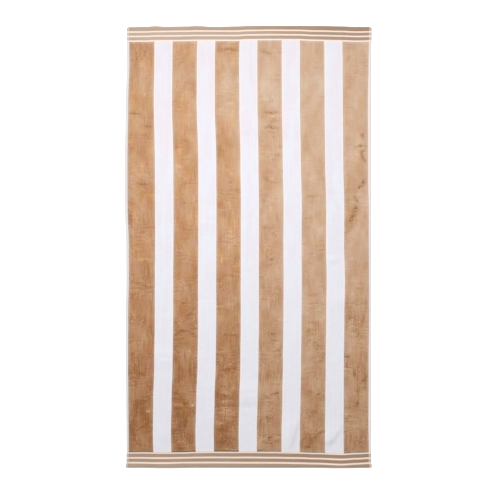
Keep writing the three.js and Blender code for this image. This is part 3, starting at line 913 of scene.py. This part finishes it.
def tan_colour(shader, mottle, marks, paler, edge, step_shading):
    """Tan pile, by the depth of its nap and the distance in from its edge."""
    nap = shader.sum(shader.rise(shader.along, NAP_DEEPENS), mottle, marks)
    laid = shader.maths("MINIMUM", nap, DEEPEST_NAP)
    side = shader.sum((shader.noise(PALE_DRIFT), 0.35), shader.across)
    blotch = shader.noise(PALE_BLOTCH)
    pale = shader.sum(shader.rise(side, PALE_SIDE), paler, (blotch, 2.0))
    warm_tan = shader.mix(laid, TAN_WARM, DEEP_WARM)
    pale_tan = shader.mix(laid, TAN_PALE, DEEP_PALE)
    tan = shader.mix(pale, warm_tan, pale_tan)
    tan = shader.mix(shader.rise(nap, CRUSHED_NAP), tan, NAP_DARK)
    inputs = {
        "Color": tan,
        "Hue": shader.sum((shader.noise(HUE_DRIFT), 0.04), SAME_HUE),
        # Painted shade: greyer and darker within a few millimetres of each edge, where the piles
        # part
        "Saturation": shader.rise(edge, EDGE_SHADE_GREYS),
        "Value": shader.rise(edge, EDGE_SHADE_DARKENS),
    }
    tan = shader.node("ShaderNodeHueSaturation", inputs).outputs[0]
    # Painted shadow line where the pile steps down to the lower border, fainter in places
    left, right = (shader.rise(shader.across, shade_fade) for shade_fade in (END_SHADE_LEFT, END_SHADE_RIGHT))
    return shader.mix(shader.product(step_shading, shader.product(left, right)), tan, PILE_END_SHADE)


def white_colour(shader, mottle, depth, step_shading):
    """White pile, by the distance from the tan beside it."""
    tint = shader.rise(shader.noise(WHITE_DRIFT), WHITE_TINT)
    up_left = (shader.rise(shader.along, WARMER_UP), shader.rise(shader.across, WARMER_LEFT))
    white = shader.mix(shader.sum(tint, up_left), WHITE_COOL, WHITE_WARM)
    white = shader.mix(shader.rise(shader.along, WHITE_LOWERS), white, WHITE_LOW)
    # Darker and lighter with the mottle and the yarns: partly the cloth's own tone, partly painted
    # shade of wrinkles
    shade = shader.sum((mottle, 0.15), (shader.noise(WHITE_YARN), 0.5))
    white = shader.mix(shade, white, WHITE_SHADE)
    # Painted warm bounce light along the edges next to the tan
    white = shader.mix(shader.rise(depth, EDGE_BOUNCE_RUN), white, WHITE_EDGE_BOUNCE)
    # Painted light at the step to the lower border, lifting the white there
    return shader.mix(step_shading, white, WHITE_END_LIGHT)


def tan_and_white(shader, mottle, marks=0.0, paler=0.0):
    """Colours of the stripes, with mottle and marks in the nap and with paler patches."""
    depth = stripe_depth(shader)
    end_depth = shader.maths("SUBTRACT", end_distance(shader), BORDER)
    lower = shader.rise(shader.along, LOWER_HALF)
    # Band at the step to the lower border: painted shadow on the tan, painted light on the white
    step_shading = shader.product(lower, shader.rise(end_depth, END_STEP_SHADING))
    edge = shader.maths("MINIMUM", depth, end_depth)
    tan = tan_colour(shader, mottle, marks, paler, edge, step_shading)
    white = white_colour(shader, mottle, depth, step_shading)
    return shader.mix(shader.rise(depth, STRIPE_EDGE), white, tan)


# Nap of the velour, with painted shade and painted highlights of fine wrinkles
BROKEN = Grain(0.011, 0.007, shift=6.2)
MARK_BREAKS = Change(-0.12, 0.12, 0.6, 1.35)
CLOUD = Grain(0.060, 0.110, shift=4.4)
STREAK = Grain(0.0060, 0.070, shift=2.9)
STREAK_PLACES = Grain(0.080, 0.150, shift=9.9)
STREAK_SHARE = Change(-0.10, 0.12, 0.15, 1.0)
WRINKLE_SHADE = Grain(0.045, 0.0075, shift=5.1, twist=0.6)
WRINKLE_SHADE_PLACES = Grain(0.110, 0.090, shift=7.2)
WRINKLE_SHADE_SHARE = Change(-0.06, 0.14, 0.10, 1.2)
BRUSHED = Grain(0.014, 0.012, twist=1.4)
SPECK = Grain(0.0050, 0.0056, shift=1.7)
CURL = Grain(0.026, 0.017, detail=1.0, shift=4.9, twist=1.2)
CRINKLE_HIGHLIGHT = Change(0.0, 0.05, 0.7, -0.3)
BUSY_PLACES = Grain(0.050, 0.060, shift=8.8)
BUSY_SHARE = Change(-0.02, 0.20, 0.35, 1.6)
LINES_DEEPEN = Change(0.7, -0.7, 0.70, 1.35)
TUFT = Grain(0.0016, 0.0016, detail=3.0, shift=5.3)
VELOUR_DEPTH = 0.0012


def velour():
    """Sheared pile of the face: soft clouds, lines brushed along and painted shade of wrinkles
    across, both in patches, crinkled spots with painted highlights that gather at the marks, and
    fine tufts. The marks are broken up a little."""
    shader = Shader("velour", roughness=0.95, sheen=0.25, sheen_roughness=0.45)
    marks, paler = shader.pair(NAP_MAP)
    marks = shader.product(marks, shader.rise(shader.noise(BROKEN), MARK_BREAKS))

    # Brushed streaks along, and painted shade of wrinkles across, each in patches
    streaks, wrinkle_shade = (
        shader.product(shader.noise(line), shader.rise(shader.noise(places), share))
        for line, places, share in (
            (STREAK, STREAK_PLACES, STREAK_SHARE), (WRINKLE_SHADE, WRINKLE_SHADE_PLACES, WRINKLE_SHADE_SHARE)))
    speck = shader.noise(SPECK)
    # Painted highlights along thin curling wrinkles
    crinkle_highlight = shader.rise(shader.maths("ABSOLUTE", shader.noise(CURL)), CRINKLE_HIGHLIGHT)
    spots = shader.sum((shader.noise(BRUSHED), 0.9), speck, (crinkle_highlight, -0.22))
    busy = shader.rise(shader.noise(BUSY_PLACES), BUSY_SHARE)
    busy = shader.sum(busy, (shader.maths("ABSOLUTE", marks), 1.3))
    lines = shader.sum((streaks, 1.3), (wrinkle_shade, 1.3), shader.product(spots, busy))
    lines = shader.product(lines, shader.rise(shader.along, LINES_DEEPEN))

    tufts = shader.noise(TUFT)
    mottle = shader.sum((shader.noise(CLOUD), 1.1), lines, (tufts, -0.9))
    height = shader.sum((tufts, 0.9), (speck, 0.5), (marks, -0.3))
    return shader.finish(tan_and_white(shader, mottle, marks, paler), height, VELOUR_DEPTH)


BACK_MOTTLE = Grain(0.05, 0.07)
LOOP_SIZE = 0.0026
LOOP_DEPTH = 0.0010


def loop_back():
    """Looped pile of the underside, in the same stripes."""
    shader = Shader("loop_back", roughness=1.0, sheen=0.15, sheen_roughness=0.5)
    colour = tan_and_white(shader, shader.noise(BACK_MOTTLE))
    inputs = {"Vector": shader.place, "Scale": 1 / LOOP_SIZE}
    loops = shader.node("ShaderNodeTexVoronoi", inputs, voronoi_dimensions="2D").outputs["Distance"]
    height = shader.maths("SUBTRACT", 1.0, loops)
    return shader.finish(colour, height, LOOP_DEPTH)


# Flat weave of the borders and the side hems
WARP_PITCH = 0.0022
WEFT_PITCH = 0.0018
BORDER_DEPTH = 0.00022
LINE_FUZZ = Grain(0.004, 0.002, shift=6.1)
LINE_FUZZ_REACH = 0.0006
LINE_EDGE = 0.0004
BORDER_YARN = Grain(0.090, 0.0022, shift=7.7)
AT_LOWER_END = Change(0.3, -0.3)
TO_THE_RIGHT = Change(-0.3, HALF_WIDTH)
RIGHT_BY_END = Change(0.0, 1.0, 0.70, 0.35)
HEM_BAND = Change(0.019, 0.016)
HEM_BY_END = Change(0.0, 1.0, 0.22, -0.20)
SIDE_HEM_DEPTH = 0.00020
SIDE_HEM_YARN = Grain(0.0018, 0.060, shift=9.4)
INNER_HALF = Change(0.004, 0.0065)
HIGHLIGHT_BY_SIDE = Change(-0.1, 0.1, 0.35, 1.0)
SIDE_HEM_LIGHTENS = Change(0.1, -0.6, 1.0, 1.07)
BORDER_SHOWS = Change(BORDER + 0.001, BORDER - 0.001, 0.0, 0.55)


def weave_height(shader):
    """Plain weave: yarns over and under each other."""
    warp = shader.waves(shader.across, WARP_PITCH)
    weft = shader.waves(shader.along, WEFT_PITCH)
    return shader.product(warp, weft)


def border_colour(shader):
    """Greyish tan bands and the white lines between them, by the distance from the end."""
    distance = shader.sum(end_distance(shader), (shader.noise(LINE_FUZZ), LINE_FUZZ_REACH))
    lower = shader.rise(shader.along, AT_LOWER_END)
    right = shader.rise(shader.across, TO_THE_RIGHT)
    slope = shader.product(right, shader.rise(lower, RIGHT_BY_END))
    # The hem band: darker at the upper end as painted shade of its roll, paler at the lower end
    hem = shader.product(shader.rise(distance, HEM_BAND), shader.rise(lower, HEM_BY_END))
    deep = shader.sum(slope, hem, (lower, 0.62), (shader.noise(BORDER_YARN), 0.9))
    tan = shader.mix(deep, FLAT_TAN, FLAT_TAN_DEEP)
    in_line = 0.0
    for line in BORDER_LINES:
        middle, half = middle_and_half(line)
        off = shader.maths("ABSOLUTE", shader.maths("SUBTRACT", distance, middle))
        inside = shader.rise(off, Change(half + LINE_EDGE, half - LINE_EDGE))
        in_line = shader.maths("MAXIMUM", in_line, inside)
    return shader.mix(in_line, tan, LINE_WHITE)


def flat_weave():
    """Flat-woven end border."""
    shader = Shader("flat_weave", roughness=0.9, sheen=0.08, sheen_roughness=0.5)
    return shader.finish(border_colour(shader), weave_height(shader), BORDER_DEPTH)


def side_cloth():
    """Turned side hem: white flat weave, with a painted creamy highlight along its inner edge, more
    so on the right, and tinted where the border runs through it."""
    shader = Shader("side_cloth", roughness=0.9, sheen=0.08, sheen_roughness=0.5)
    from_side = shader.maths("SUBTRACT", HALF_WIDTH, shader.maths("ABSOLUTE", shader.across))
    # Painted highlight along the inner edge, mixed with the yarns
    highlight_side = shader.rise(shader.across, HIGHLIGHT_BY_SIDE)
    highlight_and_yarn = shader.product(shader.rise(from_side, INNER_HALF), highlight_side)
    highlight_and_yarn = shader.sum(highlight_and_yarn, (shader.noise(SIDE_HEM_YARN), 0.6))
    white = shader.mix(highlight_and_yarn, HEM_WHITE, HEM_HIGHLIGHT)
    inputs = {"Color": white, "Value": shader.rise(shader.along, SIDE_HEM_LIGHTENS)}
    white = shader.node("ShaderNodeHueSaturation", inputs).outputs[0]
    at_border = shader.rise(end_distance(shader), BORDER_SHOWS)
    colour = shader.mix(at_border, white, border_colour(shader))
    return shader.finish(colour, weave_height(shader), SIDE_HEM_DEPTH)


TWIST_PITCH = 0.0007
TWIST_DEPTH = 0.00008
THREAD_FLECK = Grain(0.004, 0.004, detail=1.0)


def thread(name, colour):
    """Twisted sewing thread."""
    shader = Shader(name, roughness=0.7, sheen=0.1, sheen_roughness=0.4)
    twist = shader.waves(shader.sum(shader.across, shader.along), TWIST_PITCH)
    fleck = shader.sum((shader.noise(THREAD_FLECK), 0.6))
    return shader.finish(shader.mix(fleck, colour, FLAT_TAN_DEEP), twist, TWIST_DEPTH)


# Studio: pale floor, even sky, a soft far light from the upper left and a near one over the
# upper end
FLOOR_SIZE = 14.0
FLOOR_DROP = 0.0002
FLOOR_COLOUR = (0.90, 0.90, 0.905, 1.0)
FLOOR_GLOW = 0.45
FLOOR_ROUGHNESS = 0.9
FLOOR_SPECULAR = 0.1
PURE_WHITE = (1.0, 1.0, 1.0, 1.0)
SKY_STRENGTH = 0.55
FAR_PLACE = (-3.2, 6.0, 4.6)
FAR_ANGLE = math.radians(25)
FAR_STRENGTH = 1.5
NEAR_PLACE = (-0.15, 0.55, 1.7)
NEAR_SIZE = 1.0
NEAR_POWER = 12.8

# Camera straight above, framed as a square picture this wide at the towel
PICTURE_WIDTH = 2.034
CAMERA_HEIGHT = 6.0
CAMERA_ASIDE = (0.0079, -0.0144)
SENSOR = 36.0


def make_floor():
    """A wide pale floor that glows a little, as the photo is cut out on white."""
    half = FLOOR_SIZE / 2
    corners = np.array([(-half, -half), (half, -half), (half, half), (-half, half)])
    points = np.column_stack((corners, np.full(4, -FLOOR_DROP)))
    material = bpy.data.materials.new("floor")
    material.use_nodes = True
    surface = material.node_tree.nodes["Principled BSDF"]
    surface.inputs["Base Color"].default_value = FLOOR_COLOUR
    surface.inputs["Roughness"].default_value = FLOOR_ROUGHNESS
    surface.inputs["Specular IOR Level"].default_value = FLOOR_SPECULAR
    surface.inputs["Emission Color"].default_value = PURE_WHITE
    surface.inputs["Emission Strength"].default_value = FLOOR_GLOW
    floor = join_mesh("floor", points, [[0, 1, 2, 3]], [material], [0])


def make_light():
    """Even sky and two soft lights."""
    world = bpy.data.worlds.new("sky")
    world.use_nodes = True
    background = world.node_tree.nodes["Background"]
    background.inputs["Color"].default_value = PURE_WHITE
    background.inputs["Strength"].default_value = SKY_STRENGTH
    bpy.context.scene.world = world
    far = bpy.data.lights.new("far", "SUN")
    far.energy = FAR_STRENGTH
    far.angle = FAR_ANGLE
    far_holder = bpy.data.objects.new("far", far)
    far_holder.rotation_euler = Vector(FAR_PLACE).to_track_quat("Z", "Y").to_euler()
    near = bpy.data.lights.new("near", "AREA")
    near.energy = NEAR_POWER
    near.size = NEAR_SIZE
    near_holder = bpy.data.objects.new("near", near)
    near_holder.location = NEAR_PLACE
    near_holder.visible_camera = False
    for holder in (far_holder, near_holder):
        bpy.context.scene.collection.objects.link(holder)


def make_camera():
    """A camera that looks straight down on the towel."""
    camera = bpy.data.cameras.new("camera")
    camera.sensor_width = SENSOR
    camera.lens = SENSOR * CAMERA_HEIGHT / PICTURE_WIDTH
    holder = bpy.data.objects.new("camera", camera)
    holder.location = (*CAMERA_ASIDE, CAMERA_HEIGHT)
    bpy.context.scene.collection.objects.link(holder)
    bpy.context.scene.camera = holder
    bpy.context.scene.view_settings.view_transform = "Standard"


make_camera()
make_light()
make_floor()

cloth = make_cloth([velour(), flat_weave(), side_cloth(), loop_back()])
sewing = make_hem_sewing(thread("white_thread", THREAD_WHITE), thread("tan_thread", THREAD_TAN))
for piece in (cloth, *sewing):
    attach(piece, "root")
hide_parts("towel")
